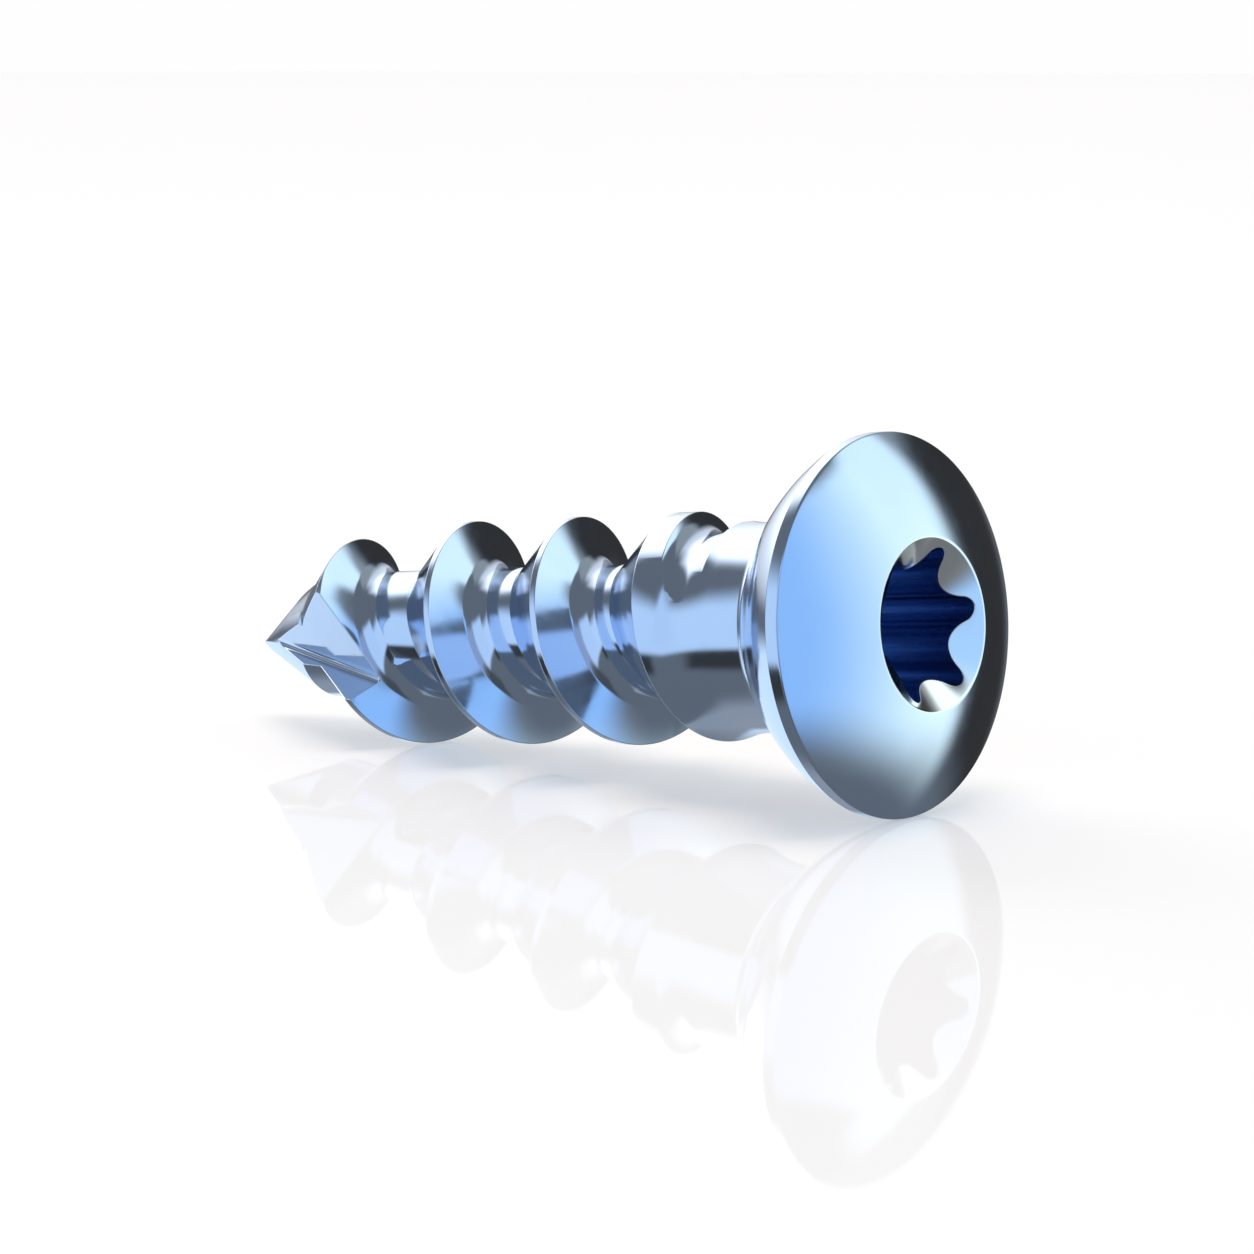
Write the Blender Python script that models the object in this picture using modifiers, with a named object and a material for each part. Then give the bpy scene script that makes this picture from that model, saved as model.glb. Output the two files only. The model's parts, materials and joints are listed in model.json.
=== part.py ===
"""Orthopedic bone screw: one solid, turned and milled from titanium bar.

The screw is modelled upright on its own axis, tip down, in a frame whose Z is the axis and whose
zero is the front edge of the head's rim. Angles about the axis are counted from +X towards +Y.
Then it is laid down as it comes to rest, on the back edge of the rim and on the thread near the tip:
+X of the upright screw becomes the top, +Y the front side (world -Y), and the head
points along world +X.
"""

import math

import bmesh
import bpy
from mathutils import Matrix, Vector

MM = 0.001

# Head
HEAD_RADIUS = 4.05 * MM
RIM_BAND = 0.275 * MM  # straight band round the widest part
CROWN_HEIGHT = 0.95 * MM  # from the rim's front edge up to the socket's mouth
UNDERSIDE_RADIUS = 5.0 * MM  # gentle bulge of the head's back
FILLET_RADIUS = 0.36 * MM  # from the head's back into the shank
FILLET_SWEEP = math.radians(65)

# Drive socket
MOUTH_RADIUS = 1.83 * MM  # round edge where the countersink meets the dome
COUNTERSINK_SLOPE = 0.70  # depth gained for each unit of radius
LOBE_RADIUS = 1.675 * MM  # out to the tips of the six lobes
VALLEY_RADIUS = 1.20 * MM  # in to the lands between them
LOBE_ROUND = 0.27 * MM
LOBE_COUNT = 6
LOBE_ANGLE = math.radians(37)
SOCKET_DEPTH = 2.8 * MM  # from the mouth to the flat floor
SOCKET_DRAFT = math.radians(0.6)

# Shank and thread
OVERALL_LENGTH = 20.0 * MM  # from the tip to the socket's mouth
SHANK_RADIUS = 2.26 * MM
NECK_LENGTH = 2.245 * MM  # from the rim's band to the end of the fillet
THREAD_RADIUS = 2.55 * MM
THREAD_END = 4.65 * MM  # where the blank for the thread ends, behind the rim's front edge
THREAD_END_TAPER = 0.75 * MM  # length of the cone from there down to the shank
PITCH = 3.2 * MM
CREST_PLACE = 7.28 * MM  # from the tip to the second crest's head-side edge, at angle zero
CREST_WIDTH = 0.15 * MM
LAND_GROWTH = 0.27 * MM  # the last crest is this much wider
LAND_GROWTH_START = 1.6  # turns after the second crest where it starts to widen
LAND_GROWTH_TURNS = 0.6
LEAD_IN = 0.40 * MM  # how much further the first crest lies from the second than a pitch
THREAD_TURNS_BELOW = 2.5  # turns of groove from the second crest down past the tip
CORE_RADIUS = 1.46 * MM
LEADING_FLANK = 1.53 * MM  # axial run of the flank that faces the tip
TRAILING_FLANK = 0.31 * MM  # axial run of the flank that faces the head
ROOT_EDGE_RADIUS = 1.73 * MM  # where that flank meets the hollow of the root
ROOT_RUN = 0.64 * MM  # axial length of the hollow
ROOT_HOLLOW = 0.62 * MM  # radius of the hollow
RUNOUT_PLACE = 4.61 * MM  # where the rising groove is RUNOUT_RISE shallower, behind the rim's front edge
RUNOUT_RISE = 0.94 * MM
RUNOUT_TURNS = 0.70  # it rises by that much over this part of a turn
RUNOUT_OVERRUN = 0.22  # and then goes on rising, out of the metal, over this part

# Tip
TIP_CONE_RADIUS = 1.5 * MM  # where the point's cone ends and the thread begins to rise
TIP_CONE_LENGTH = 2.75 * MM  # from the tip to there
TIP_CONE_ANGLE = math.radians(26)
THREAD_START = 2.95 * MM  # from the tip to the foot of the cone that the first thread rises on
THREAD_START_STEP = 0.12 * MM  # how far the blank widens between the two cones
THREAD_FULL = 4.2 * MM  # from the tip to where the first thread has its full radius
POINT_ANGLE = math.radians(32)  # half angle of the ground point
POINT_OFFSET = 0.16 * MM  # how far the ground point lies below the axis
POINT_FLATS = 2
POINT_FLAT_ANGLE = math.radians(29.5)  # of a flat to the axis
POINT_FLAT_DEPTH = 0.02 * MM  # how far a flat passes inside the point's own tip
POINT_FLAT_TURN = math.radians(114)  # where the first flat lies round the axis
FLUTE_COUNT = 2
FLUTE_HEEL_ANGLE = math.radians(123)  # of the flute's corner, at its head end
FLUTE_HEEL = 5.6 * MM  # from the tip to where the corner leaves the thread
FLUTE_HEEL_RADIUS = 1.82 * MM
FLUTE_TOE_ANGLE = math.radians(97)
FLUTE_TOE = 1.5 * MM  # from the tip to where the corner comes out of the point
FLUTE_TOE_RADIUS = 0.83 * MM
FLUTE_WALL_ANGLE = math.radians(118)  # direction of the cutting wall's normal
FLUTE_CORNER_ROUND = 0.12 * MM
FLUTE_OVERRUN = 0.9 * MM  # how far the milled space runs on past the heel

# Fineness of the facets
STEPS = 72
DOME_STEPS = 9
UNDERSIDE_STEPS = 7
FILLET_STEPS = 5
HOLLOW_STEPS = 4
LOBE_STEPS = 6
ROUND_STEPS = 4
SHARP_ANGLE = math.radians(30)

# How far the cutters reach
PAST = 0.6 * MM  # how far a cutter reaches past what it cuts
FLANK_OVERRUN = 0.03 * MM  # how far the groove's flanks run on past the crest

TIP_PLACE = CROWN_HEIGHT - OVERALL_LENGTH


def new_collection(name):
    collection = bpy.data.collections.new(name)
    bpy.context.scene.collection.children.link(collection)
    return collection


def new_object(name, mesh, collection):
    obj = bpy.data.objects.new(name, mesh)
    collection.objects.link(obj)
    return obj


def mesh_from(bm, name):
    bmesh.ops.recalc_face_normals(bm, faces=bm.faces)
    mesh = bpy.data.meshes.new(name)
    bm.to_mesh(mesh)
    bm.free()
    return mesh


def arc(centre, radius, start, end, steps):
    """Points on a circle in the (radius, height) plane, both ends included."""
    turns = [start + (end - start) * i / steps for i in range(steps + 1)]
    return [(centre[0] + radius * math.cos(t), centre[1] + radius * math.sin(t)) for t in turns]


def arc_between(a, b, radius, steps):
    """Points of an arc from a to b that bulges to the left of the way from a to b."""
    a, b = Vector(a), Vector(b)
    chord = b - a
    left = Vector((-chord.y, chord.x)).normalized()
    centre = (a + b) / 2 - left * math.sqrt(radius**2 - chord.length_squared / 4)
    start = math.atan2(a.y - centre.y, a.x - centre.x)
    sweep = -2 * math.asin(chord.length / 2 / radius)
    return arc(centre, radius, start, start + sweep, steps)


def blank_profile():
    """Outline of the turned blank as (radius, height), from the mouth of the socket down to the tip."""
    dome_drop = (HEAD_RADIUS**2 - MOUTH_RADIUS**2 - CROWN_HEIGHT**2) / (2 * CROWN_HEIGHT)
    dome_radius = math.hypot(HEAD_RADIUS, dome_drop)
    mouth_turn = math.atan2(CROWN_HEIGHT + dome_drop, MOUTH_RADIUS)
    rim_turn = math.atan2(dome_drop, HEAD_RADIUS)
    dome = arc((0, -dome_drop), dome_radius, mouth_turn, rim_turn, DOME_STEPS)
    neck_end = -RIM_BAND - NECK_LENGTH
    fillet_centre = (SHANK_RADIUS + FILLET_RADIUS, neck_end)
    fillet = arc(fillet_centre, FILLET_RADIUS, math.pi - FILLET_SWEEP, math.pi, FILLET_STEPS)
    underside = arc_between(
        (HEAD_RADIUS, -RIM_BAND), fillet[0], UNDERSIDE_RADIUS, UNDERSIDE_STEPS
    )
    cone_end = TIP_PLACE + TIP_CONE_LENGTH
    cone_tip = cone_end - TIP_CONE_RADIUS / math.tan(TIP_CONE_ANGLE)
    return [
        (0, CROWN_HEIGHT),
        *dome,
        *underside[:-1],
        *fillet,
        (SHANK_RADIUS, -THREAD_END + THREAD_END_TAPER),
        (THREAD_RADIUS, -THREAD_END),
        (THREAD_RADIUS, TIP_PLACE + THREAD_FULL),
        (TIP_CONE_RADIUS + THREAD_START_STEP, TIP_PLACE + THREAD_START),
        (TIP_CONE_RADIUS, cone_end),
        (0, cone_tip),
    ]


def make_blank(collection):
    points = blank_profile()
    mesh = bpy.data.meshes.new("bone_screw")
    edges = [(i, i + 1) for i in range(len(points) - 1)]
    half_step = math.pi / STEPS  # so that a facet, and not a corner, lies on the floor
    start = Vector((math.cos(half_step), math.sin(half_step), 0))
    mesh.from_pydata([start * r + Vector((0, 0, z)) for r, z in points], edges, [])
    screw = new_object("bone_screw", mesh, collection)
    turn = screw.modifiers.new("turned", "SCREW")
    turn.axis = "Z"
    turn.steps = turn.render_steps = STEPS
    turn.use_merge_vertices = True
    turn.merge_threshold = 0.00001
    turn.use_normal_calculate = True
    return screw


def crest_height(turn):
    """Height of the crest's head-side edge; below its second turn the thread's pitch grows."""
    turns = turn / (2 * math.pi)
    return TIP_PLACE + CREST_PLACE + PITCH * turns - LEAD_IN * min(0, turns) ** 2


def crest_width(turn):
    """Width of the crest's land, which grows where the thread runs out under the head."""
    growth = (turn / (2 * math.pi) - LAND_GROWTH_START) / LAND_GROWTH_TURNS
    return CREST_WIDTH + LAND_GROWTH * min(1, max(0, growth))


def groove_section(turn):
    """Closed outline of the thread's groove as (radius, height), height counted from the crest before it."""
    pitch = crest_height(turn + 2 * math.pi) - crest_height(turn)
    groove_end = pitch - crest_width(turn + 2 * math.pi)
    hollow_end = TRAILING_FLANK + ROOT_RUN
    core_end = groove_end - LEADING_FLANK
    trailing_slope = TRAILING_FLANK / (THREAD_RADIUS - ROOT_EDGE_RADIUS)
    leading_slope = LEADING_FLANK / (THREAD_RADIUS - CORE_RADIUS)
    brim = THREAD_RADIUS + FLANK_OVERRUN
    first = -FLANK_OVERRUN * trailing_slope
    last = groove_end + FLANK_OVERRUN * leading_slope
    hollow = arc_between(
        (ROOT_EDGE_RADIUS, TRAILING_FLANK), (CORE_RADIUS, hollow_end), ROOT_HOLLOW, HOLLOW_STEPS
    )
    return [
        (brim + PAST, first),
        (brim, first),
        *hollow,
        (CORE_RADIUS, core_end),
        (brim, last),
        (brim + PAST, last),
    ]


def make_groove(collection):
    """The groove's section, carried along the helix a step at a time and lifted where the thread runs out."""
    step = 2 * math.pi / STEPS
    first = -round(STEPS * THREAD_TURNS_BELOW)
    runout = (-RUNOUT_PLACE - crest_height(0)) / PITCH
    last = round(STEPS * (runout + RUNOUT_OVERRUN))
    rise_start = runout - RUNOUT_TURNS
    bm = bmesh.new()
    loop = []
    for index in range(first, last + 1):
        turn = index * step
        height = crest_height(turn)
        section = groove_section(turn)
        lift = RUNOUT_RISE * max(0, turn / (2 * math.pi) - rise_start) / RUNOUT_TURNS
        place = [
            Vector(((r + lift) * math.cos(turn), (r + lift) * math.sin(turn), z + height))
            for r, z in section
        ]
        if not loop:
            loop = [bm.verts.new(point) for point in place]
            bm.faces.new(loop)
            edges = [bm.edges.get((a, b)) for a, b in zip(loop, loop[1:] + loop[:1])]
            continue
        made = bmesh.ops.extrude_edge_only(bm, edges=edges)["geom"]
        fresh = set(v for v in made if isinstance(v, bmesh.types.BMVert))
        loop = [next(e.other_vert(v) for e in v.link_edges if e.other_vert(v) in fresh) for v in loop]
        for vert, point in zip(loop, place):
            vert.co = point
        edges = [bm.edges.get((a, b)) for a, b in zip(loop, loop[1:] + loop[:1])]
    bm.faces.new(loop)
    return new_object("cutter_groove", mesh_from(bm, "cutter_groove"), collection)


def lobe_outline():
    """Six round lobes joined by round lands, as one closed outline."""
    pitch = 2 * math.pi / LOBE_COUNT
    reach = LOBE_RADIUS - LOBE_ROUND
    spread = math.cos(pitch / 2)
    land_round = (
        reach**2 + VALLEY_RADIUS**2 - 2 * reach * VALLEY_RADIUS * spread - LOBE_ROUND**2
    ) / (2 * (LOBE_ROUND + reach * spread - VALLEY_RADIUS))
    land_reach = VALLEY_RADIUS + land_round
    lobe = Vector((reach, 0))
    land = Vector((land_reach * spread, land_reach * math.sin(pitch / 2)))
    tangent = math.atan2(land.y - lobe.y, land.x - lobe.x)
    back = tangent + math.pi
    points = []
    for index in range(LOBE_COUNT):
        turn = Matrix.Rotation(LOBE_ANGLE + index * pitch, 2)
        round_lobe = arc(lobe, LOBE_ROUND, -tangent, tangent, LOBE_STEPS)
        round_land = arc(land, land_round, back, 2 * math.pi + pitch - back, LOBE_STEPS)
        points += [turn @ Vector(p) for p in round_lobe[:-1] + round_land[:-1]]
    return points


def make_socket(collection):
    """The lobed bore, with walls that open outwards by their draft, and its countersink."""
    top = CROWN_HEIGHT + PAST
    depth = SOCKET_DEPTH + PAST
    bm = bmesh.new()
    mouth = bm.faces.new([bm.verts.new((p.x, p.y, top)) for p in lobe_outline()])
    floor = bmesh.ops.extrude_face_region(bm, geom=[mouth], use_keep_orig=True)["geom"]
    shrink = 1 - depth * math.tan(SOCKET_DRAFT) / LOBE_RADIUS
    for vert in floor:
        if isinstance(vert, bmesh.types.BMVert):
            vert.co = (vert.co.x * shrink, vert.co.y * shrink, top - depth)
    bore = new_object("cutter_socket", mesh_from(bm, "cutter_socket"), collection)
    bm = bmesh.new()
    reach = MOUTH_RADIUS + PAST
    height = reach * COUNTERSINK_SLOPE
    bmesh.ops.create_cone(
        bm,
        cap_ends=True,
        segments=STEPS,
        radius1=0,
        radius2=reach,
        depth=height,
        matrix=Matrix.Translation((0, 0, CROWN_HEIGHT + PAST * COUNTERSINK_SLOPE - height / 2)),
    )
    bmesh.ops.remove_doubles(bm, verts=bm.verts, dist=0.001 * MM)
    sink = new_object("cutter_countersink", mesh_from(bm, "cutter_countersink"), collection)
    return [bore, sink]


def upright(angle, radius, height):
    """A point of the upright screw from its angle, radius and height."""
    return Vector((radius * math.cos(angle), radius * math.sin(angle), height))


def make_box(name, size, corner, axes, collection, rounding=0):
    """A box that grows from its corner along three directions, with its long edge there rounded."""
    bm = bmesh.new()
    bmesh.ops.create_cube(bm, size=1)
    for vert in bm.verts:
        vert.co = [(c + 0.5) * s for c, s in zip(vert.co, size)]
    if rounding:
        edge = [e for e in bm.edges if all(v.co.xy.length < MM / 1000 for v in e.verts)]
        bmesh.ops.bevel(
            bm, geom=edge, offset=rounding, segments=ROUND_STEPS, profile=0.5, affect="EDGES"
        )
    frame = Matrix(axes).transposed().to_4x4()
    bm.transform(Matrix.Translation(corner) @ frame)
    return new_object(name, mesh_from(bm, name), collection)


def make_flutes(collection):
    """Two square-cornered grooves milled along the tip, half a turn apart."""
    flutes = []
    for index in range(FLUTE_COUNT):
        turn = index * 2 * math.pi / FLUTE_COUNT
        heel = upright(FLUTE_HEEL_ANGLE + turn, FLUTE_HEEL_RADIUS, TIP_PLACE + FLUTE_HEEL)
        toe = upright(FLUTE_TOE_ANGLE + turn, FLUTE_TOE_RADIUS, TIP_PLACE + FLUTE_TOE)
        along = (heel - toe).normalized()
        wall = upright(FLUTE_WALL_ANGLE + turn, 1, 0)
        wall = (wall - along * wall.dot(along)).normalized()
        other = wall.cross(along)
        length = (heel - toe).length + FLUTE_OVERRUN + PAST
        corner = toe - along * PAST
        axes = (other, wall, along)
        width = FLUTE_TOE_RADIUS + THREAD_RADIUS + PAST
        size = (width, width, length)
        name = f"cutter_flute_{index + 1}"
        flutes.append(make_box(name, size, corner, axes, collection, FLUTE_CORNER_ROUND))
    return flutes


def make_point(collection):
    """A block with a conical pit that grinds the point, and blocks that grind its flats."""
    tip = upright(math.pi, POINT_OFFSET, TIP_PLACE)
    reach = TIP_CONE_RADIUS + PAST
    depth = reach / math.tan(POINT_ANGLE)
    bm = bmesh.new()
    outline = [(0, 0), (reach, depth), (reach, -PAST), (0, -PAST)]
    verts = [bm.verts.new((r, 0, z)) for r, z in outline]
    edges = [bm.edges.new(pair) for pair in zip(verts, verts[1:])]
    bmesh.ops.spin(
        bm,
        geom=verts + edges,
        axis=(0, 0, 1),
        cent=(0, 0, 0),
        steps=STEPS,
        angle=2 * math.pi,
        use_merge=True,
    )
    bmesh.ops.remove_doubles(bm, verts=bm.verts, dist=0.001 * MM)
    bm.transform(Matrix.Translation(tip))
    blocks = [new_object("cutter_point", mesh_from(bm, "cutter_point"), collection)]
    for index in range(POINT_FLATS):
        middle = POINT_FLAT_TURN + index * 2 * math.pi / POINT_FLATS
        outward = upright(middle, math.cos(POINT_FLAT_ANGLE), -math.sin(POINT_FLAT_ANGLE))
        across = Vector((-math.sin(middle), math.cos(middle), 0))
        down = outward.cross(across)
        size = (2 * depth,) * 3
        corner = tip - (across + down) * depth - outward * POINT_FLAT_DEPTH
        name = f"cutter_point_flat_{index + 1}"
        blocks.append(make_box(name, size, corner, (outward, across, down), collection))
    return blocks


def cut(body, cutters):
    for cutter in cutters:
        cutter.hide_render = True
        cutter.display_type = "WIRE"
        boolean = body.modifiers.new(cutter.name, "BOOLEAN")
        boolean.operation = "DIFFERENCE"
        boolean.solver = "EXACT"
        boolean.object = cutter


def resting_tilt(mesh):
    """Angle from the floor to the axis, with the back edge of the rim and the lowest thread both down."""
    thread = [v.co for v in mesh.vertices if v.co.z < -RIM_BAND - NECK_LENGTH]
    return math.atan(min((p.x + HEAD_RADIUS) / (-RIM_BAND - p.z) for p in thread))


def lay_down(body):
    """Turns the finished screw onto the floor, its footprint centred on the origin."""
    mesh = bpy.data.meshes.new_from_object(body.evaluated_get(bpy.context.evaluated_depsgraph_get()))
    tilt = resting_tilt(mesh)
    along = Vector((math.cos(tilt), 0, math.sin(tilt)))
    top = Vector((-math.sin(tilt), 0, math.cos(tilt)))
    front = Vector((0, -1, 0))
    mesh.transform(Matrix((top, front, along)).transposed().to_4x4())
    lows = [min(v.co[i] for v in mesh.vertices) for i in range(3)]
    highs = [max(v.co[i] for v in mesh.vertices) for i in range(3)]
    centre = [-(low + high) / 2 for low, high in zip(lows, highs)]
    mesh.transform(Matrix.Translation((centre[0], centre[1], -lows[2])))
    body.modifiers.clear()
    body.data = mesh


def anodised_titanium():
    material = bpy.data.materials.new("anodised_titanium")
    material.use_nodes = True
    shader = material.node_tree.nodes["Principled BSDF"]
    shader.inputs["Base Color"].default_value = (0.30, 0.47, 0.72, 1)
    shader.inputs["Metallic"].default_value = 1
    shader.inputs["Roughness"].default_value = 0.12
    return material


def main():
    for obj in list(bpy.data.objects):
        bpy.data.objects.remove(obj)
    parts = new_collection("orthopedic_bone_screw")
    cutters = new_collection("cutters")
    screw = make_blank(parts)
    cut(screw, [make_groove(cutters)])
    cut(screw, make_flutes(cutters))
    cut(screw, make_point(cutters))
    cut(screw, make_socket(cutters))
    bpy.context.view_layer.update()
    lay_down(screw)
    screw.data.materials.append(anodised_titanium())
    screw.data.shade_smooth()
    screw.data.set_sharp_from_angle(angle=SHARP_ANGLE)


main()
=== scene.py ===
import json
import math

import bmesh
import bpy
from mathutils import Matrix, Vector


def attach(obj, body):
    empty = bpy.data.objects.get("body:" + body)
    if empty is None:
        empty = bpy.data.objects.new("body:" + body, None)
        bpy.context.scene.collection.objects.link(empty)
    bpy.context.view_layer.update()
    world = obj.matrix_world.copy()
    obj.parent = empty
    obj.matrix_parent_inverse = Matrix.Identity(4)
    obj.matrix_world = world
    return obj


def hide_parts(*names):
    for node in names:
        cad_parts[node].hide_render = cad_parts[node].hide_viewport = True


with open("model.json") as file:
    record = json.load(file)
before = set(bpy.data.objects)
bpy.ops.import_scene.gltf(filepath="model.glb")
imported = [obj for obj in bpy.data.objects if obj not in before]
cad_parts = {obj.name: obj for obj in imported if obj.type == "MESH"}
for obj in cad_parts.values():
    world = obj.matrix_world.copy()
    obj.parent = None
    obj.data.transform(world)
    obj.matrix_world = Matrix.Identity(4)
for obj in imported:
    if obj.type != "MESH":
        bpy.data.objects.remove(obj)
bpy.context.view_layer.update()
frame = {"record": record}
mm = 0.001
fullTurn = 2 * math.pi


# Small helpers

def toLinear(hexColour):  # sRGB hex to the linear colour that a socket takes
    parts = [int(hexColour[i:i + 2], 16) / 255 for i in (1, 3, 5)]
    return (*[c / 12.92 if c <= 0.04045 else ((c + 0.055) / 1.055) ** 2.4 for c in parts], 1)


# An input takes a value, a socket, or a node, whose first output is meant.
def addNode(tree, kind, inputs=None, **settings):
    node = tree.nodes.new(kind)
    for name, value in settings.items():
        setattr(node, name, value)
    for key, value in (inputs or {}).items():
        if isinstance(value, bpy.types.Node):
            value = value.outputs[0]
        if isinstance(value, bpy.types.NodeSocket):
            tree.links.new(value, node.inputs[key])
        else:
            node.inputs[key].default_value = value
    return node


def addObject(name, data):
    thing = bpy.data.objects.new(name, data)
    bpy.context.collection.objects.link(thing)
    return thing


def meshFrom(bm, name):
    bmesh.ops.remove_doubles(bm, verts=bm.verts, dist=fineness["mergeWithin"] * mm)
    bmesh.ops.recalc_face_normals(bm, faces=bm.faces)
    mesh = bpy.data.meshes.new(name)
    bm.to_mesh(mesh)
    bm.free()
    return mesh


def arcPoints(centre, radius, start, end, steps):
    turns = [start + (end - start) * i / steps for i in range(steps + 1)]
    return [(centre[0] + radius * math.cos(t), centre[1] + radius * math.sin(t)) for t in turns]


def arcBetween(a, b, radius, steps):  # bulges to the left of the way from a to b
    a, b = Vector(a), Vector(b)
    chord = b - a
    left = Vector((-chord.y, chord.x)).normalized()
    centre = (a + b) / 2 - left * math.sqrt(radius ** 2 - chord.length_squared / 4)
    start = math.atan2(a.y - centre.y, a.x - centre.x)
    return arcPoints(centre, radius, start, start - 2 * math.asin(chord.length / 2 / radius), steps)


def atPlace(turn, radius, height):  # a point of the upright screw
    return Vector((radius * math.cos(turn), radius * math.sin(turn), height))


# The screw is made upright, tip down, with its zero in the front edge of the head's rim.
# Turns are counted from the side that lies on top, towards the front. Lengths are in mm.

head = {
    "radius": 4.045,  # like the thread's, a hair inside the solid's own
    "rimBand": 0.275,  # the narrow band round the rim
    "crownHeight": 0.95,
    "undersideRadius": 5.0,
    "filletRadius": 0.36,
    "filletSweep": 65,  # degrees
    "neckLength": 2.245,
    "shankRadius": 2.26,
}
drive = {
    "mouthRadius": 1.83,
    "countersinkSlope": 0.70,  # depth over width
    "lobeRadius": 1.675,
    "landRadius": 1.20,
    "lobeRound": 0.27,
    "lobes": 6,
    "firstLobe": 37,  # degrees from the top
    "depth": 2.8,
    "draft": 0.6,  # degrees
}
thread = {
    "length": 20.0,  # of the whole screw
    "radius": 2.547,
    "end": 4.65,
    "endTaper": 0.75,
    "pitch": 3.2,
    "crestPlace": 7.28,  # of the crest that turns are counted from, from the tip
    "crestWidth": 0.15,
    "landGrowth": 0.27,  # the crest widens under the head, over these turns
    "landGrowthStart": 1.6,
    "landGrowthTurns": 0.6,
    "leadIn": 0.40,  # how the crests draw apart towards the tip
    "coreRadius": 1.46,
    "leadingFlank": 1.53,
    "trailingFlank": 0.31,
    "rootEdgeRadius": 1.73,
    "rootRun": 0.64,
    "rootHollow": 0.62,
    "hollowMargin": 0.05,
    "turnsBelow": 2.5,
    "runoutPlace": 4.61,  # from the rim
    "runoutRise": 0.94,
    "runoutTurns": 0.70,
    "runoutOverrun": 0.22,
}
point = {
    "coneRadius": 1.5,
    "coneLength": 2.75,
    "coneAngle": 26,  # degrees, as all angles here
    "threadStart": 2.95,  # from the tip
    "threadStartStep": 0.12,
    "threadFull": 4.2,
    "angle": 32,
    "offset": 0.16,
    "flats": 2,
    "flatAngle": 29.5,
    "flatDepth": 0.02,
    "flatTurn": 114,
}
flute = {
    "count": 2,
    "heelTurn": 123,
    "heel": 5.6,  # from the tip
    "heelRadius": 1.82,
    "toeTurn": 97,
    "toe": 1.5,
    "toeRadius": 0.83,
    "wallTurn": 118,
    "cornerRound": 0.12,
    "overrun": 0.9,
}
easings = {"mouth": 0.07, "rim": 0.04, "rimBack": 0.035, "neck": 3.0}  # radii of the rounded corners
fineness = {
    "turnSteps": 240,
    "arcStep": 0.06,
    "cornerSteps": 8,
    "filletSteps": 10,
    "hollowSteps": 12,
    "lobeSteps": 16,
    "past": 0.6,  # how far a cutter stands out of the metal
    "flankOverrun": 0.03,
    "mergeWithin": 0.0005,
    "sharpAngle": 24,  # degrees
}
tipPlace = head["crownHeight"] - thread["length"]
past = fineness["past"]


def stepsFor(length):
    return max(4, round(length / fineness["arcStep"]))


def eased(outline, place, radius):  # rounds off the outline's corner that is nearest to a place
    index = min(range(1, len(outline) - 1), key=lambda i: math.dist(outline[i], place))
    before, corner, after = (Vector(p) for p in outline[index - 1:index + 2])
    back, on = (before - corner).normalized(), (after - corner).normalized()
    half = back.angle(on) / 2
    reach = radius / math.tan(half)
    centre = corner + (back + on).normalized() * radius / math.sin(half)
    first = corner + back * reach
    start = math.atan2(*(first - centre).yx)
    turn = math.pi - 2 * half
    if back.cross(on) > 0:
        turn = -turn
    arc = arcPoints(centre, radius, start, start + turn, fineness["cornerSteps"])
    return outline[:index] + arc + outline[index + 1:]


# The blank's outline as radius and height, from the foot of the countersink over the crown to the tip.
def blankOutline():
    radius, crown = head["radius"], head["crownHeight"]
    drop = (radius ** 2 - drive["mouthRadius"] ** 2 - crown ** 2) / (2 * crown)
    domeRadius = math.hypot(radius, drop)
    mouthTurn = math.atan2(crown + drop, drive["mouthRadius"])
    rimTurn = math.atan2(drop, radius)
    dome = arcPoints((0, -drop), domeRadius, mouthTurn, rimTurn, stepsFor(radius - drive["mouthRadius"]))
    neckEnd = -head["rimBand"] - head["neckLength"]
    sweep = math.radians(head["filletSweep"])
    centre = (head["shankRadius"] + head["filletRadius"], neckEnd)
    fillet = arcPoints(centre, head["filletRadius"], math.pi - sweep, math.pi, fineness["filletSteps"])
    rimBack = (radius, -head["rimBand"])
    undersideSteps = stepsFor(radius - head["shankRadius"])
    underside = arcBetween(rimBack, fillet[0], head["undersideRadius"], undersideSteps)
    shankEnd = (head["shankRadius"], -thread["end"] + thread["endTaper"])
    coneEnd = tipPlace + point["coneLength"]
    coneTip = coneEnd - point["coneRadius"] / math.tan(math.radians(point["coneAngle"]))
    outline = [
        (0, crown - drive["mouthRadius"] * drive["countersinkSlope"]),
        *dome,
        *underside[:-1],
        *fillet,
        shankEnd,
        (thread["radius"], -thread["end"]),
        (thread["radius"], tipPlace + point["threadFull"]),
        (point["coneRadius"] + point["threadStartStep"], tipPlace + point["threadStart"]),
        (point["coneRadius"], coneEnd),
        (0, coneTip),
    ]
    for place, easing in (
        ((drive["mouthRadius"], crown), "mouth"),
        ((radius, 0), "rim"),
        (rimBack, "rimBack"),
        (shankEnd, "neck"),
    ):
        outline = eased(outline, place, easings[easing])
    return outline


def turned(outline, name, steps):  # an outline spun round the axis, as on a lathe
    bm = bmesh.new()
    verts = [bm.verts.new((r * mm, 0, z * mm)) for r, z in outline]
    edges = [bm.edges.new(pair) for pair in zip(verts, verts[1:])]
    bmesh.ops.spin(bm, geom=verts + edges, axis=(0, 0, 1), cent=(0, 0, 0), steps=steps,
                   angle=fullTurn, use_merge=True)
    return meshFrom(bm, name)


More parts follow.
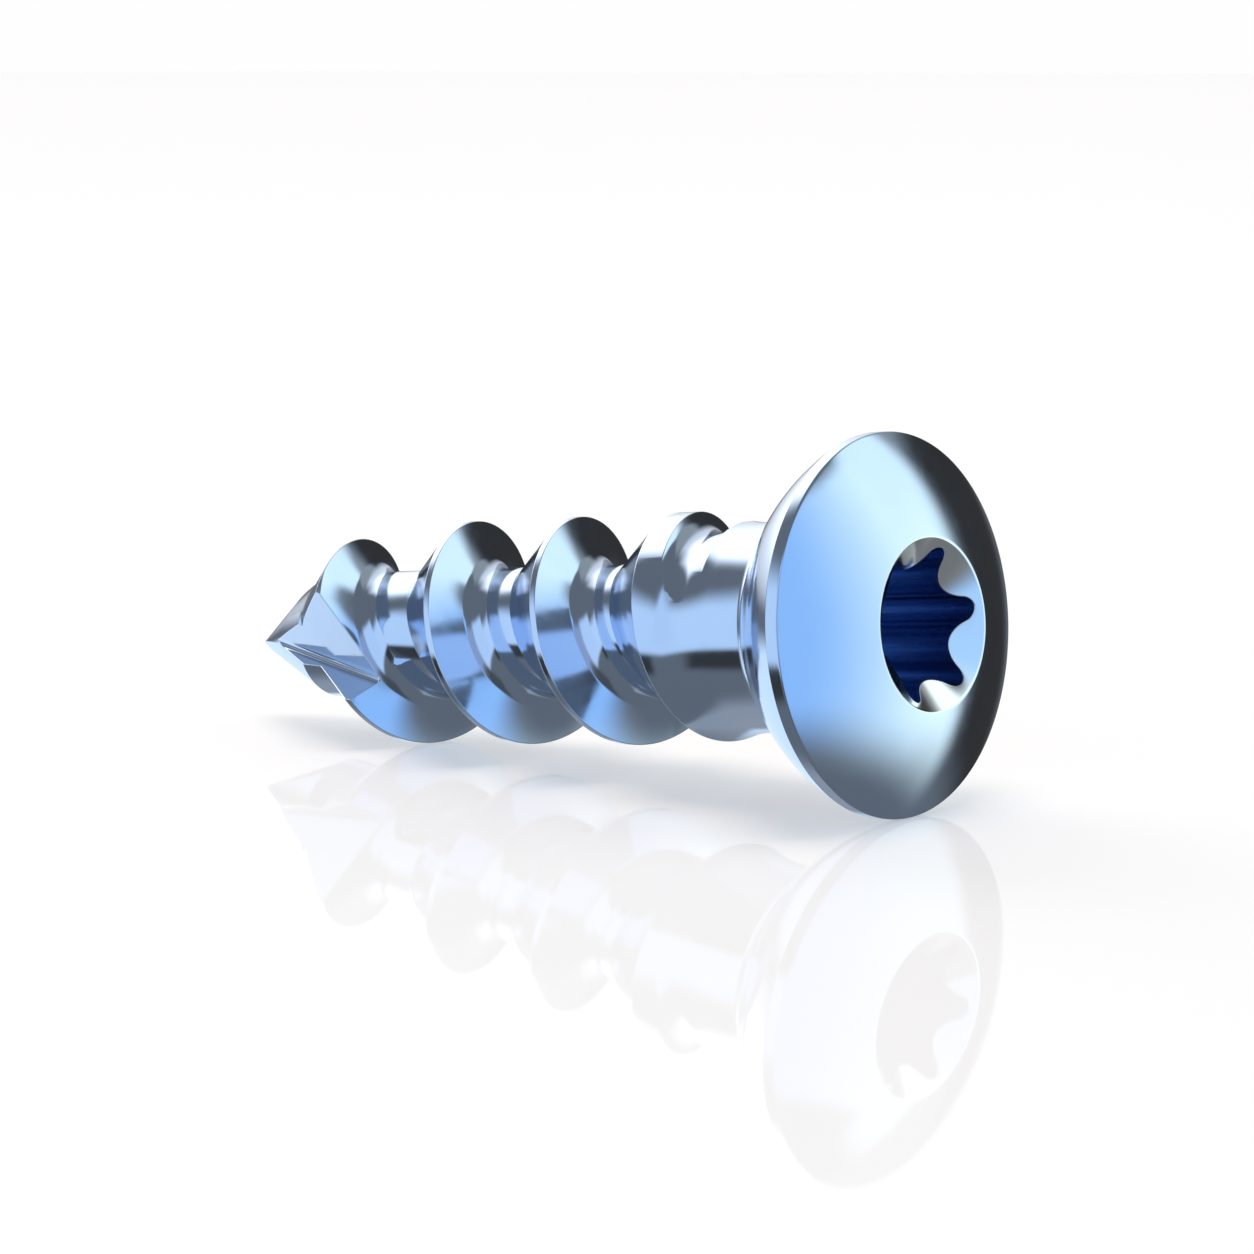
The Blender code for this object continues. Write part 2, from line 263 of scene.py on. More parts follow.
# The groove between two crests as a closed loop, with its height counted from the lower crest.
def grooveSection():
    outer, core, edge = thread["radius"], thread["coreRadius"], thread["rootEdgeRadius"]
    grooveEnd = thread["pitch"] - thread["crestWidth"]
    hollowEnd = thread["trailingFlank"] + thread["rootRun"]
    brim = outer + fineness["flankOverrun"]
    first = -fineness["flankOverrun"] * thread["trailingFlank"] / (outer - edge)
    last = grooveEnd + fineness["flankOverrun"] * thread["leadingFlank"] / (outer - core)
    hollowStart = (edge, thread["trailingFlank"])
    hollow = arcBetween(hollowStart, (core, hollowEnd), thread["rootHollow"], fineness["hollowSteps"])
    points = [(brim + past, first), (brim, first), *hollow,
              (core, grooveEnd - thread["leadingFlank"]), (brim, last), (brim + past, last)]
    mesh = bpy.data.meshes.new("grooveSection")
    count = len(points)
    places = [(r * mm, z * mm, 0) for r, z in points]
    mesh.from_pydata(places, [(i, (i + 1) % count) for i in range(count)], [])
    return mesh


# The thread: a Geometry Nodes tree bends a straight bar of the groove's section round the helix,
# one turn to each metre of the bar, lifts it where the thread runs out, and cuts it from the blank.

def crestHeightGroup():  # where a crest lies after so many turns; below the first crest they draw apart
    tree = bpy.data.node_groups.new("crestHeight", "GeometryNodeTree")
    sockets = tree.interface
    for name in ("Turns", "First Crest", "Pitch", "Lead In"):
        sockets.new_socket(name, in_out="INPUT", socket_type="NodeSocketFloat")
    sockets.new_socket("Height", in_out="OUTPUT", socket_type="NodeSocketFloat")
    given = addNode(tree, "NodeGroupInput").outputs
    steady = addNode(tree, "ShaderNodeMath", {
        0: given["Turns"], 1: given["Pitch"], 2: given["First Crest"]}, operation="MULTIPLY_ADD")
    below = addNode(tree, "ShaderNodeMath", {0: given["Turns"], 1: 0.0}, operation="MINIMUM")
    square = addNode(tree, "ShaderNodeMath", {0: below, 1: below}, operation="MULTIPLY")
    extra = addNode(tree, "ShaderNodeMath", {0: square, 1: given["Lead In"]}, operation="MULTIPLY")
    height = addNode(tree, "ShaderNodeMath", {0: steady, 1: extra}, operation="SUBTRACT")
    addNode(tree, "NodeGroupOutput", {"Height": height})
    return tree


def threadTree():
    tree = bpy.data.node_groups.new("cutThread", "GeometryNodeTree")
    sockets = tree.interface
    sockets.new_socket("Geometry", in_out="OUTPUT", socket_type="NodeSocketGeometry")
    sockets.new_socket("Geometry", in_out="INPUT", socket_type="NodeSocketGeometry")
    sockets.new_socket("Section", in_out="INPUT", socket_type="NodeSocketObject")
    sockets.new_socket("Finish", in_out="INPUT", socket_type="NodeSocketMaterial")
    sockets.new_socket("Stations", in_out="INPUT", socket_type="NodeSocketInt")
    lengths = ("First Turn", "Last Turn", "First Crest", "Pitch", "Lead In", "Hollow End", "Land Growth",
               "Growth Start", "Growth Turns", "Runout Start", "Runout Rise")
    for name in lengths:
        sockets.new_socket(name, in_out="INPUT", socket_type="NodeSocketFloat")
    given = addNode(tree, "NodeGroupInput").outputs

    section = addNode(tree, "GeometryNodeObjectInfo", {"Object": given["Section"]})
    profile = addNode(tree, "GeometryNodeMeshToCurve", {"Mesh": section.outputs["Geometry"]})
    start = addNode(tree, "ShaderNodeCombineXYZ", {"X": given["First Turn"]})
    end = addNode(tree, "ShaderNodeCombineXYZ", {"X": given["Last Turn"]})
    line = addNode(tree, "GeometryNodeCurvePrimitiveLine", {"Start": start, "End": end})
    path = addNode(tree, "GeometryNodeResampleCurve", {"Curve": line, "Count": given["Stations"]})
    bar = addNode(tree, "GeometryNodeCurveToMesh",
                  {"Curve": path, "Profile Curve": profile, "Fill Caps": True})

    place = addNode(tree, "ShaderNodeSeparateXYZ", {0: addNode(tree, "GeometryNodeInputPosition")})
    turns = place.outputs["X"]
    # The bar lays its section down turned by half a turn, so both of its directions change sign.
    radius = addNode(tree, "ShaderNodeMath", {0: place.outputs["Y"], 1: -1.0}, operation="MULTIPLY")
    along = addNode(tree, "ShaderNodeMath", {0: place.outputs["Z"], 1: -1.0}, operation="MULTIPLY")
    rule = {"First Crest": given["First Crest"], "Pitch": given["Pitch"], "Lead In": given["Lead In"]}
    nextTurns = addNode(tree, "ShaderNodeMath", {0: turns, 1: 1.0}, operation="ADD")
    crestRule = crestHeightGroup()
    crest = addNode(tree, "GeometryNodeGroup", node_tree=crestRule)
    nextCrest = addNode(tree, "GeometryNodeGroup", node_tree=crestRule)
    for group, at in ((crest, turns), (nextCrest, nextTurns.outputs[0])):
        for name, source in {"Turns": at, **rule}.items():
            tree.links.new(source, group.inputs[name])

    # Past the hollow, the section moves with the next crest, which may lie further off and be wider.
    rise = addNode(tree, "ShaderNodeMath", {0: nextCrest, 1: crest}, operation="SUBTRACT")
    stretch = addNode(tree, "ShaderNodeMath", {0: rise, 1: given["Pitch"]}, operation="SUBTRACT")
    beyond = addNode(tree, "ShaderNodeMath", {0: nextTurns, 1: given["Growth Start"]}, operation="SUBTRACT")
    share = addNode(tree, "ShaderNodeMath", {0: beyond, 1: given["Growth Turns"]},
                    operation="DIVIDE", use_clamp=True)
    growth = addNode(tree, "ShaderNodeMath", {0: share, 1: given["Land Growth"]}, operation="MULTIPLY")
    shift = addNode(tree, "ShaderNodeMath", {0: stretch, 1: growth}, operation="SUBTRACT")
    upper = addNode(tree, "ShaderNodeMath", {0: along, 1: given["Hollow End"]}, operation="GREATER_THAN")
    moved = addNode(tree, "ShaderNodeMath", {0: shift, 1: upper, 2: along}, operation="MULTIPLY_ADD")
    height = addNode(tree, "ShaderNodeMath", {0: moved, 1: crest}, operation="ADD")

    # Where the thread runs out, the groove rises out of the metal.
    late = addNode(tree, "ShaderNodeMath", {0: turns, 1: given["Runout Start"]}, operation="SUBTRACT")
    later = addNode(tree, "ShaderNodeMath", {0: late, 1: 0.0}, operation="MAXIMUM")
    reach = addNode(tree, "ShaderNodeMath", {0: later, 1: given["Runout Rise"], 2: radius},
                    operation="MULTIPLY_ADD")
    angle = addNode(tree, "ShaderNodeMath", {0: turns, 1: fullTurn}, operation="MULTIPLY")
    cosine = addNode(tree, "ShaderNodeMath", {0: angle}, operation="COSINE")
    sine = addNode(tree, "ShaderNodeMath", {0: angle}, operation="SINE")
    x = addNode(tree, "ShaderNodeMath", {0: reach, 1: cosine}, operation="MULTIPLY")
    y = addNode(tree, "ShaderNodeMath", {0: reach, 1: sine}, operation="MULTIPLY")
    helix = addNode(tree, "ShaderNodeCombineXYZ", {"X": x, "Y": y, "Z": height})
    groove = addNode(tree, "GeometryNodeSetPosition", {"Geometry": bar, "Position": helix})
    cut = addNode(tree, "GeometryNodeMeshBoolean", {"Mesh 1": given["Geometry"], "Mesh 2": groove},
                  operation="DIFFERENCE", solver="EXACT")
    whole = addNode(tree, "GeometryNodeRealizeInstances", {"Geometry": cut.outputs["Mesh"]})
    finished = addNode(tree, "GeometryNodeSetMaterial", {"Geometry": whole, "Material": given["Finish"]})
    addNode(tree, "NodeGroupOutput", {"Geometry": finished})
    return tree


def setInputs(modifier, values):  # by the socket's identifier
    for item in modifier.node_group.interface.items_tree:
        if item.item_type == "SOCKET" and item.in_out == "INPUT" and item.name in values:
            modifier[item.identifier] = values[item.name]


def lobedBore():  # six round lobes joined by round lands, with walls that open outwards a little
    pitch = fullTurn / drive["lobes"]
    rounding, landRadius = drive["lobeRound"], drive["landRadius"]
    reach = drive["lobeRadius"] - rounding
    spread = math.cos(pitch / 2)
    landRound = (reach ** 2 + landRadius ** 2 - 2 * reach * landRadius * spread - rounding ** 2) / (
        2 * (rounding + reach * spread - landRadius))
    landReach = landRadius + landRound
    lobe = Vector((reach, 0))
    land = Vector((landReach * spread, landReach * math.sin(pitch / 2)))
    tangent = math.atan2(land.y - lobe.y, land.x - lobe.x)
    outline = []
    for index in range(drive["lobes"]):
        turn = Matrix.Rotation(math.radians(drive["firstLobe"]) + index * pitch, 2)
        around = arcPoints(lobe, rounding, -tangent, tangent, fineness["lobeSteps"])
        landStart, landEnd = math.pi + tangent, math.pi + pitch - tangent
        between = arcPoints(land, landRound, landStart, landEnd, fineness["lobeSteps"])
        outline += [turn @ Vector(p) for p in around[:-1] + between[:-1]]
    top = head["crownHeight"] + past
    depth = drive["depth"] + past
    shrink = 1 - depth * math.tan(math.radians(drive["draft"])) / drive["lobeRadius"]
    bm = bmesh.new()
    mouth = bm.faces.new([bm.verts.new((p.x * mm, p.y * mm, top * mm)) for p in outline])
    floor = bmesh.ops.extrude_face_region(bm, geom=[mouth], use_keep_orig=True)["geom"]
    for vert in [v for v in floor if isinstance(v, bmesh.types.BMVert)]:
        vert.co = (vert.co.x * shrink, vert.co.y * shrink, (top - depth) * mm)
    return meshFrom(bm, "lobedBore")


def box(name, size, corner, axes, rounding=0.0):  # grows from its corner along three directions
    bm = bmesh.new()
    bmesh.ops.create_cube(bm, size=1)
    for vert in bm.verts:
        vert.co = [(c + 0.5) * s * mm for c, s in zip(vert.co, size)]
    if rounding:
        edge = [e for e in bm.edges if all(v.co.xy.length < fineness["mergeWithin"] * mm for v in e.verts)]
        bmesh.ops.bevel(bm, geom=edge, offset=rounding * mm, segments=fineness["cornerSteps"],
                        profile=0.5, affect="EDGES")
    bm.transform(Matrix.Translation(corner * mm) @ Matrix(axes).transposed().to_4x4())
    return meshFrom(bm, name)


def fluteCutters():  # blocks that run from a toe by the tip to a heel further up
    cutters = []
    for index in range(flute["count"]):
        turn = index * fullTurn / flute["count"]
        heelTurn, toeTurn = math.radians(flute["heelTurn"]) + turn, math.radians(flute["toeTurn"]) + turn
        heel = atPlace(heelTurn, flute["heelRadius"], tipPlace + flute["heel"])
        toe = atPlace(toeTurn, flute["toeRadius"], tipPlace + flute["toe"])
        along = (heel - toe).normalized()
        wall = atPlace(math.radians(flute["wallTurn"]) + turn, 1, 0)
        wall = (wall - along * wall.dot(along)).normalized()
        width = flute["toeRadius"] + thread["radius"] + past
        size = (width, width, (heel - toe).length + flute["overrun"] + past)
        axes = (wall.cross(along), wall, along)
        cutters.append(box(f"flute{index + 1}", size, toe - along * past, axes, flute["cornerRound"]))
    return cutters


def pointCutters():  # a conical pit that grinds the point, and two flats
    tip = atPlace(math.pi, point["offset"], tipPlace)
    reach = point["coneRadius"] + past
    depth = reach / math.tan(math.radians(point["angle"]))
    pit = turned([(0, 0), (reach, depth), (reach, -past), (0, -past)], "pointPit", fineness["turnSteps"])
    pit.transform(Matrix.Translation(tip * mm))
    cutters = [pit]
    tilt = math.radians(point["flatAngle"])
    for index in range(point["flats"]):
        middle = math.radians(point["flatTurn"]) + index * fullTurn / point["flats"]
        outward = atPlace(middle, math.cos(tilt), -math.sin(tilt))
        across = Vector((-math.sin(middle), math.cos(middle), 0))
        down = outward.cross(across)
        corner = tip - (across + down) * depth - outward * point["flatDepth"]
        cutters.append(box(f"flat{index + 1}", (2 * depth,) * 3, corner, (outward, across, down)))
    return cutters


def makeScrew(finish):
    steps = fineness["turnSteps"]
    screw = addObject("polishedScrew", turned(blankOutline(), "polishedScrew", steps))
    section = addObject("grooveSection", grooveSection())
    firstCrest = tipPlace + thread["crestPlace"]
    runout = (-thread["runoutPlace"] - firstCrest) / thread["pitch"]
    stations = round(steps * (thread["turnsBelow"] + runout + thread["runoutOverrun"])) + 1
    firstTurn = -thread["turnsBelow"] + 0.5 / steps  # half a step off the blank's own corners
    nodes = screw.modifiers.new("cutThread", "NODES")
    nodes.node_group = threadTree()
    setInputs(nodes, {
        "Section": section,
        "Finish": finish,
        "Stations": stations,
        "First Turn": firstTurn,
        "Last Turn": firstTurn + (stations - 1) / steps,
        "First Crest": firstCrest * mm,
        "Pitch": thread["pitch"] * mm,
        "Lead In": thread["leadIn"] * mm,
        "Hollow End": (thread["trailingFlank"] + thread["rootRun"] + thread["hollowMargin"]) * mm,
        "Land Growth": thread["landGrowth"] * mm,
        "Growth Start": thread["landGrowthStart"],
        "Growth Turns": thread["landGrowthTurns"],
        "Runout Start": runout - thread["runoutTurns"],
        "Runout Rise": thread["runoutRise"] / thread["runoutTurns"] * mm,
    })
    helpers = [section]
    for mesh in (*fluteCutters(), *pointCutters(), lobedBore()):
        cutter = addObject(mesh.name, mesh)
        helpers.append(cutter)
        boolean = screw.modifiers.new(mesh.name, "BOOLEAN")
        boolean.operation = "DIFFERENCE"
        boolean.solver = "EXACT"
        boolean.object = cutter
    bpy.context.view_layer.update()
    mesh = bpy.data.meshes.new_from_object(screw.evaluated_get(bpy.context.evaluated_depsgraph_get()))
    screw.modifiers.clear()
    screw.data = mesh
    for helper in helpers:
        bpy.data.objects.remove(helper)
    mesh.materials.clear()
    mesh.materials.append(finish)
    mesh.shade_smooth()
    mesh.set_sharp_from_angle(angle=math.radians(fineness["sharpAngle"]))
    return screw


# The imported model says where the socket's floor lies and which way the axis points.
mount = next(m for m in frame["record"]["mounts"] if m["name"] == "socket_floor")
alongAxis = Vector(mount["axis"]).normalized()
topSide = Vector((-alongAxis.z, 0, alongAxis.x))
frontSide = Vector((0, -1, 0))
rimCentre = Vector(mount["pos_m"]) - alongAxis * (head["crownHeight"] - drive["depth"]) * mm
layDown = Matrix.Translation(rimCentre) @ Matrix((topSide, frontSide, alongAxis)).transposed().to_4x4()


# Polished titanium alloy with a thin anodic film. The film tints the mirror light blue, unevenly by a
# little, and the polish leaves a faint haze. Its edges get a rounded normal, and white is painted into
# the colour there and over the countersink, as painted highlight lines. Down in the socket a darker
# blue is painted in as painted shade, which gives the deep navy.
anodised = {
    "tint": "#D9E7FB",
    "deepTint": "#CCDFF9",
    "tintPatch": 2.2,  # mm
    "edgeHighlight": "#FFFFFF",
    "edgeRound": 0.035,  # mm
    "edgeHighlightTurn": (0.99, 0.9),  # cosines at which the painted edge highlight starts and is full
    # painted shade: the darker blue painted into the bore
    "socketShade": "#93ADD6",
    "socketShadeFade": (0.01, 0.07),  # mm below the countersink's cone, over which the painted shade fades in
    "socketMargin": 0.1,  # mm below the socket's floor
    "socketRoughness": 0.22,
    "roughness": 0.085,
    "haze": 0.05,
    "hazeRange": (0.35, 0.75),  # of the noise
    "hazePatch": 0.35,  # mm
}


def anodisedTitanium():
    material = bpy.data.materials.new("anodisedTitanium")
    material.use_nodes = True
    tree = material.node_tree
    shader = tree.nodes["Principled BSDF"]
    shader.inputs["Metallic"].default_value = 1.0
    spot = addNode(tree, "ShaderNodeTexCoord").outputs["Object"]
    film = addNode(tree, "ShaderNodeTexNoise", {
        "Vector": spot, "Scale": 1 / (anodised["tintPatch"] * mm), "Detail": 2.0})
    tint = addNode(tree, "ShaderNodeMix", {
        "Factor": film.outputs["Fac"], 6: toLinear(anodised["tint"]), 7: toLinear(anodised["deepTint"])},
        data_type="RGBA")

    # The edges: where the rounded normal turns away from the face's own, white is painted in as a painted
    # highlight.
    rounded = addNode(tree, "ShaderNodeBevel", {"Radius": anodised["edgeRound"] * mm}, samples=8)
    plain = addNode(tree, "ShaderNodeNewGeometry").outputs["Normal"]
    facing = addNode(tree, "ShaderNodeVectorMath", {0: rounded, 1: plain}, operation="DOT_PRODUCT")
    edgeStart, edgeEnd = anodised["edgeHighlightTurn"]
    paintedEdgeHighlight = addNode(tree, "ShaderNodeMapRange", {
        "Value": facing.outputs["Value"], "From Min": edgeStart, "From Max": edgeEnd})

    # The countersink gets the same painted highlight as the edges, and the bore below its cone gets painted
    # shade.
    # Both are found in the upright screw's own coordinates.
    upright = addNode(tree, "ShaderNodeMapping", {
        "Vector": spot, "Location": layDown.to_translation(), "Rotation": layDown.to_euler()},
        vector_type="TEXTURE")
    part = addNode(tree, "ShaderNodeSeparateXYZ", {0: upright})
    across = addNode(tree, "ShaderNodeCombineXYZ", {"X": part.outputs["X"], "Y": part.outputs["Y"]})
    reach = addNode(tree, "ShaderNodeVectorMath", {0: across}, operation="LENGTH").outputs["Value"]
    coneFoot = head["crownHeight"] - drive["mouthRadius"] * drive["countersinkSlope"]
    cone = addNode(tree, "ShaderNodeMath", {0: reach, 1: drive["countersinkSlope"], 2: coneFoot * mm},
                   operation="MULTIPLY_ADD")
    below = addNode(tree, "ShaderNodeMath", {0: cone, 1: part.outputs["Z"]}, operation="SUBTRACT")
    fadeStart, fadeEnd = anodised["socketShadeFade"]
    down = addNode(tree, "ShaderNodeMapRange", {
        "Value": below, "From Min": fadeStart * mm, "From Max": fadeEnd * mm})
    mouth, foot = drive["mouthRadius"], head["crownHeight"] - drive["depth"] - anodised["socketMargin"]
    within = addNode(tree, "ShaderNodeMath", {0: reach, 1: mouth * mm}, operation="LESS_THAN")
    above = addNode(tree, "ShaderNodeMath", {0: part.outputs["Z"], 1: foot * mm}, operation="GREATER_THAN")
    inHead = addNode(tree, "ShaderNodeMath", {0: within, 1: above}, operation="MULTIPLY")
    # painted shade: a darker blue painted into the bore below the countersink's cone
    boreShade = addNode(tree, "ShaderNodeMath", {0: down, 1: inHead}, operation="MULTIPLY")
    # painted highlight: white on the edges and over the whole countersink
    paintedHighlight = addNode(tree, "ShaderNodeMath", {0: paintedEdgeHighlight, 1: inHead}, operation="MAXIMUM")
    bright = addNode(tree, "ShaderNodeMix", {
        "Factor": paintedHighlight, 6: tint.outputs[2], 7: toLinear(anodised["edgeHighlight"])}, data_type="RGBA")
    colour = addNode(tree, "ShaderNodeMix", {
        "Factor": boreShade, 6: bright.outputs[2], 7: toLinear(anodised["socketShade"])}, data_type="RGBA")
    tree.links.new(colour.outputs[2], shader.inputs["Base Color"])

    polish = addNode(tree, "ShaderNodeTexNoise", {
        "Vector": spot, "Scale": 1 / (anodised["hazePatch"] * mm), "Detail": 4.0})
    clear, cloudy = anodised["hazeRange"]
    haze = addNode(tree, "ShaderNodeMapRange", {
        "Value": polish.outputs["Fac"], "From Min": clear, "From Max": cloudy,
        "To Min": anodised["roughness"], "To Max": anodised["roughness"] + anodised["haze"]})
    dull = addNode(tree, "ShaderNodeMix", {"Factor": boreShade, "A": haze, "B": anodised["socketRoughness"]})
    tree.links.new(dull.outputs[0], shader.inputs["Roughness"])
    tree.links.new(rounded.outputs[0], shader.inputs["Normal"])
    return material


# The room that the metal mirrors: each card covers a soft-edged patch of the world, placed by
# azimuth about world Z and by elevation, in degrees, and a later card covers an earlier one.
# The white backdrop is there for the metal too, as the back wall, the back light and the lit table.
studio = {
    "backdrop": 0.992,  # as the camera sees it, 1 is white
    "dim": ("#EBF5FF", 0.183),  # the room between the cards
    "cards": [
        # centre, left, right, left blur, right blur, low, high, low blur, high blur, colour, strength
        ("pale table", 155, 35, 35, 20, 20, -90, -36, 1, 6, "#F0F6FF", 0.392),
        ("low shade", -32, 20, 18, 10, 8, -40, -10, 5, 6, "#F4F8FF", 0.092),
        ("left shade", -135, 22, 26, 6, 8, -34, -18, 4, 2, "#F8FAFF", 0.048),
        ("left window", -104, 48, 52, 5, 7, -17, 25, 3, 9, "#CFE6FF", 1.0),
        ("left window's tall end", -76, 24, 26, 6, 8, -10, 43, 8, 6, "#CBE3FF", 0.98),
        ("middle curtain", -35, 16, 18, 6, 6, -3, 39, 5, 6, "#C3D8FF", 0.6),
        ("window's deep side", 22, 40, 30, 5, 8, -24, 43.5, 10, 2.5, "#A3CFFF", 1.02),
        ("window's bright side", 38, 13, 31, 32, 7, -28, 44, 10, 2.5, "#F0FFF8", 1.3),
        ("window's tall end", 57, 14, 13, 6, 7, 20, 50, 10, 5, "#EAFCFF", 1.2),
        ("grey wall", 98, 26, 30, 6, 12, 30, 75, 6, 12, "#FAFFFD", 0.355),
        ("dark door", 88, 14, 22, 7, 9, -26, 27, 6, 5, "#FFFAF4", 0.038),
        ("back wall", 152, 38, 36, 10, 12, 0, 72, 4, 12, "#FBFCFF", 0.85),
        ("back light", 160, 22, 22, 14, 12, 10, 52, 8, 16, "#FCFEFF", 2.0),
        ("lit table", 158, 32, 44, 12, 16, -34, -10, 6, 4, "#DDEEFF", 1.15),
    ],
}


def cardGroup():
    tree = bpy.data.node_groups.new("softCard", "ShaderNodeTree")
    sockets = tree.interface
    names = ("Azimuth", "Elevation", "Centre", "Left", "Right", "Left Blur", "Right Blur",
             "Low", "High", "Low Blur", "High Blur")
    for name in names:
        sockets.new_socket(name, in_out="INPUT", socket_type="NodeSocketFloat")
    sockets.new_socket("Colour", in_out="INPUT", socket_type="NodeSocketColor")
    sockets.new_socket("Light", in_out="INPUT", socket_type="NodeSocketColor")
    sockets.new_socket("Light", in_out="OUTPUT", socket_type="NodeSocketColor")
    given = addNode(tree, "NodeGroupInput").outputs
    off = addNode(tree, "ShaderNodeMath", {0: given["Azimuth"], 1: given["Centre"]}, operation="SUBTRACT")
    wrapped = addNode(tree, "ShaderNodeMath", {0: off, 1: 180.0, 2: -180.0}, operation="WRAP")
    leftBorder = addNode(tree, "ShaderNodeMath", {0: given["Left"], 1: -1.0}, operation="MULTIPLY")
    borders = (
        ("Left", wrapped, leftBorder, 0.0, 1.0),
        ("Right", wrapped, given["Right"], 1.0, 0.0),
        ("Low", given["Elevation"], given["Low"], 0.0, 1.0),
        ("High", given["Elevation"], given["High"], 1.0, 0.0),
    )
    amounts = []
    for side, value, border, before, after in borders:
        blur = given[side + " Blur"]
        inner = addNode(tree, "ShaderNodeMath", {0: border, 1: blur}, operation="SUBTRACT")
        outer = addNode(tree, "ShaderNodeMath", {0: border, 1: blur}, operation="ADD")
        amounts.append(addNode(tree, "ShaderNodeMapRange", {
            "Value": value, "From Min": inner, "From Max": outer, "To Min": before, "To Max": after},
            interpolation_type="SMOOTHSTEP"))
    total = amounts[0]
    for amount in amounts[1:]:
        total = addNode(tree, "ShaderNodeMath", {0: total, 1: amount}, operation="MULTIPLY")
    covered = addNode(tree, "ShaderNodeMix", {"Factor": total, 6: given["Light"], 7: given["Colour"]},
                      data_type="RGBA")
    addNode(tree, "NodeGroupOutput", {"Light": covered.outputs[2]})
    return tree


def glowOf(hexColour, strength):
    return (*[c * strength for c in toLinear(hexColour)[:3]], 1)


def makeWorld():
    world = bpy.data.worlds.new("studio")
    bpy.context.scene.world = world
    world.use_nodes = True
    tree = world.node_tree
    tree.nodes.clear()
    direction = addNode(tree, "ShaderNodeTexCoord").outputs["Generated"]
    way = addNode(tree, "ShaderNodeSeparateXYZ", {0: direction})
    around = addNode(tree, "ShaderNodeMath", {0: way.outputs["Y"], 1: way.outputs["X"]},
                     operation="ARCTAN2")
    azimuth = addNode(tree, "ShaderNodeMath", {0: around}, operation="DEGREES")
    up = addNode(tree, "ShaderNodeMath", {0: way.outputs["Z"]}, operation="ARCSINE")
    elevation = addNode(tree, "ShaderNodeMath", {0: up}, operation="DEGREES")
    card = cardGroup()
    light = addNode(tree, "ShaderNodeRGB").outputs[0]
    light.default_value = glowOf(*studio["dim"])
    fields = ("Centre", "Left", "Right", "Left Blur", "Right Blur", "Low", "High", "Low Blur", "High Blur")
    for label, *values, colour, strength in studio["cards"]:
        node = addNode(tree, "ShaderNodeGroup", node_tree=card, label=label)
        for name, value in zip(fields, values):
            node.inputs[name].default_value = value
        node.inputs["Colour"].default_value = glowOf(colour, strength)
        tree.links.new(azimuth.outputs[0], node.inputs["Azimuth"])
        tree.links.new(elevation.outputs[0], node.inputs["Elevation"])
        tree.links.new(light, node.inputs["Light"])
        light = node.outputs["Light"]
    seen = addNode(tree, "ShaderNodeBackground", {"Color": (1, 1, 1, 1), "Strength": studio["backdrop"]})
    lit = addNode(tree, "ShaderNodeBackground", {"Color": light, "Strength": 1.0})
    rays = addNode(tree, "ShaderNodeLightPath")
    both = addNode(tree, "ShaderNodeMixShader", {0: rays.outputs["Is Camera Ray"], 1: lit, 2: seen})
    addNode(tree, "ShaderNodeOutputWorld", {"Surface": both})


# A white glossy table. Its glow, for the camera alone, lifts it to white around the screw's shadow.
table = {
    "half": 4.0,  # m
    "white": "#DDD9D6",
    "glow": 0.42,
    "gloss": 0.13,
    "glossTint": "#FFFFFF",
    "roughness": 0.03,
}


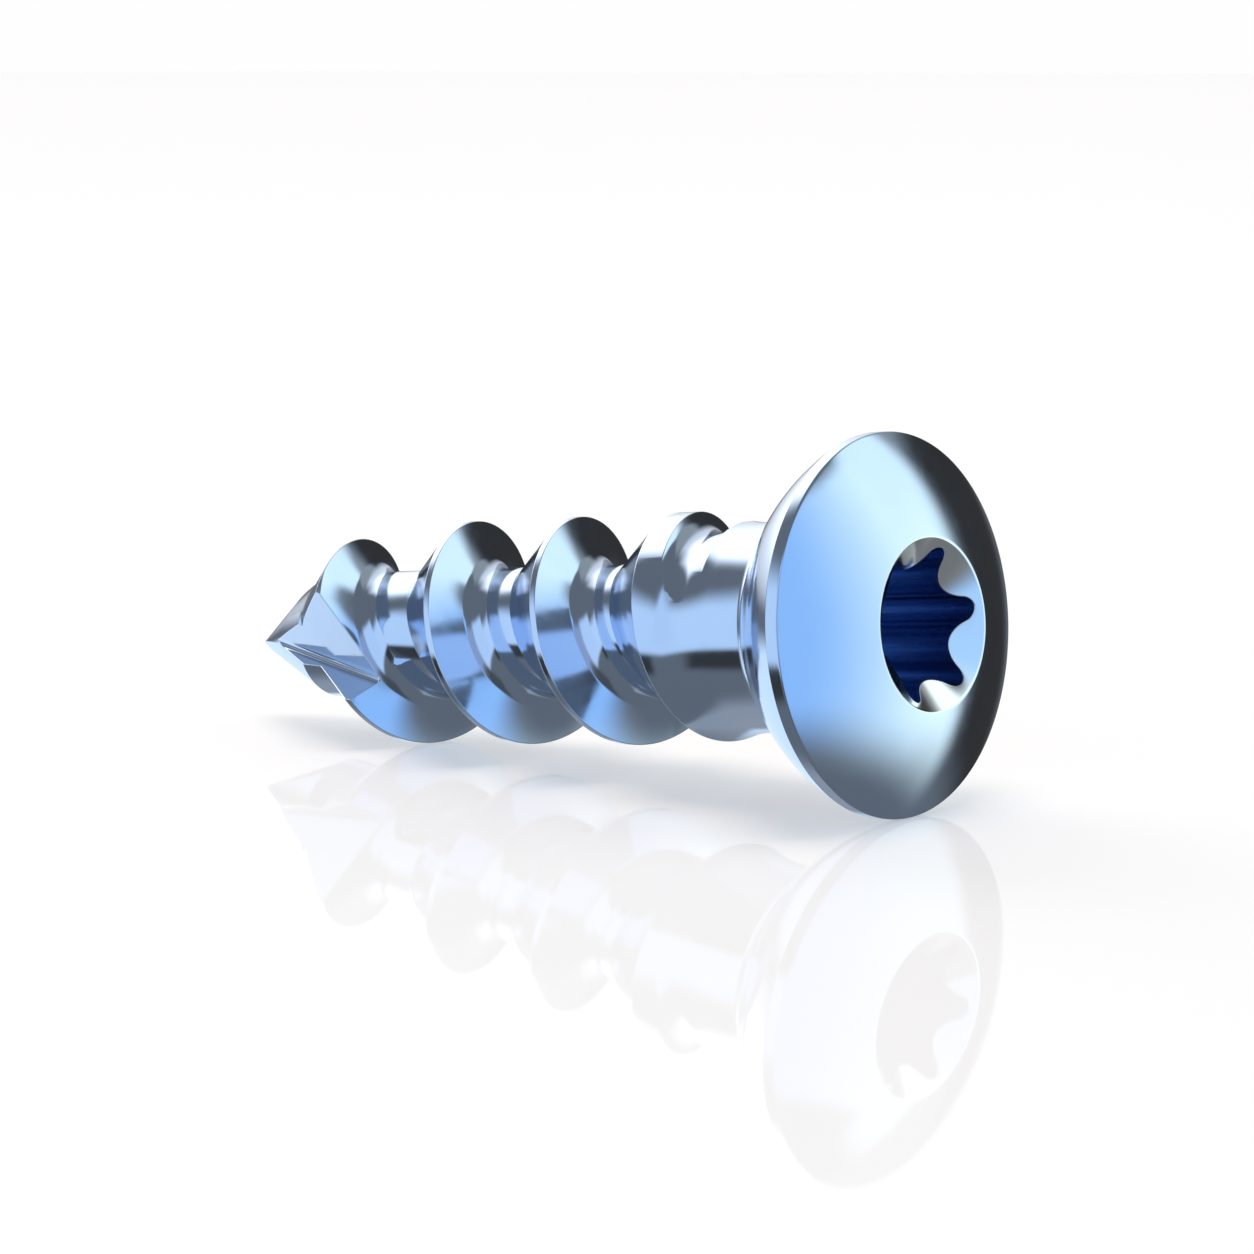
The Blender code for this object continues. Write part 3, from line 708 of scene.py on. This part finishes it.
def makeTable():
    bm = bmesh.new()
    bmesh.ops.create_grid(bm, x_segments=1, y_segments=1, size=table["half"])
    mesh = bpy.data.meshes.new("glossyTable")
    bm.to_mesh(mesh)
    bm.free()
    floor = addObject("glossyTable", mesh)  # it reaches far past the frame
    material = bpy.data.materials.new("whiteGloss")
    material.use_nodes = True
    tree = material.node_tree
    tree.nodes.clear()
    matt = addNode(tree, "ShaderNodeBsdfDiffuse", {"Color": toLinear(table["white"])})
    glow = addNode(tree, "ShaderNodeEmission", {"Color": (1, 1, 1, 1), "Strength": table["glow"]})
    rays = addNode(tree, "ShaderNodeLightPath")
    shown = addNode(tree, "ShaderNodeMixShader", {0: rays.outputs["Is Camera Ray"], 2: glow})
    base = addNode(tree, "ShaderNodeAddShader", {0: matt, 1: shown})
    gloss = addNode(tree, "ShaderNodeBsdfGlossy", {
        "Color": toLinear(table["glossTint"]), "Roughness": table["roughness"]})
    coat = addNode(tree, "ShaderNodeMixShader", {0: table["gloss"], 1: base, 2: gloss})
    addNode(tree, "ShaderNodeOutputMaterial", {"Surface": coat})
    mesh.materials.append(material)
    floor.visible_glossy = False  # the cards stand for it in the metal


# A soft lamp overhead, which only the table shows: it deepens the shadow under the screw.
overhead = {"white": "#FFF2E8", "power": 1.2, "spread": 36}  # the spread in degrees


def makeLamp():
    light = bpy.data.lights.new("overhead", "SUN")
    light.angle = math.radians(overhead["spread"])
    light.color = toLinear(overhead["white"])[:3]
    light.energy = overhead["power"]
    lamp = addObject("overhead", light)
    lamp.visible_glossy = False


# The photograph's camera, solved from the rim, the socket's mouth, the crests and the floor.
view = {
    "turn": 49.59,  # degrees, as the rise
    "rise": 8.68,
    "distance": 82.13,
    "lens": 106.41,
    "nearest": 1.0,
    "aimBehindRim": -7.387,
    "aimHeight": -0.766,
}


def makeCamera():
    turn, rise = math.radians(view["turn"]), math.radians(view["rise"])
    back = Vector((math.cos(turn) * math.cos(rise), -math.sin(turn) * math.cos(rise), math.sin(rise)))
    aim = rimCentre + Vector((view["aimBehindRim"], 0, view["aimHeight"])) * mm
    lens = bpy.data.cameras.new("photoCamera")
    lens.lens = view["lens"]
    lens.clip_start = view["nearest"] * mm
    camera = addObject("photoCamera", lens)
    camera.location = aim + back * view["distance"] * mm
    camera.rotation_euler = back.to_track_quat("Z", "Y").to_euler()
    bpy.context.scene.camera = camera


makeCamera()
print("camera placed")
makeWorld()
makeTable()
makeLamp()
print("studio, table and lamp made")
finish = anodisedTitanium()
screw = makeScrew(finish)
screw.data.transform(layDown)
print("screw made:", len(screw.data.polygons), "faces")
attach(screw, "root")
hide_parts("bone_screw")

bpy.context.scene.view_settings.view_transform = "Standard"
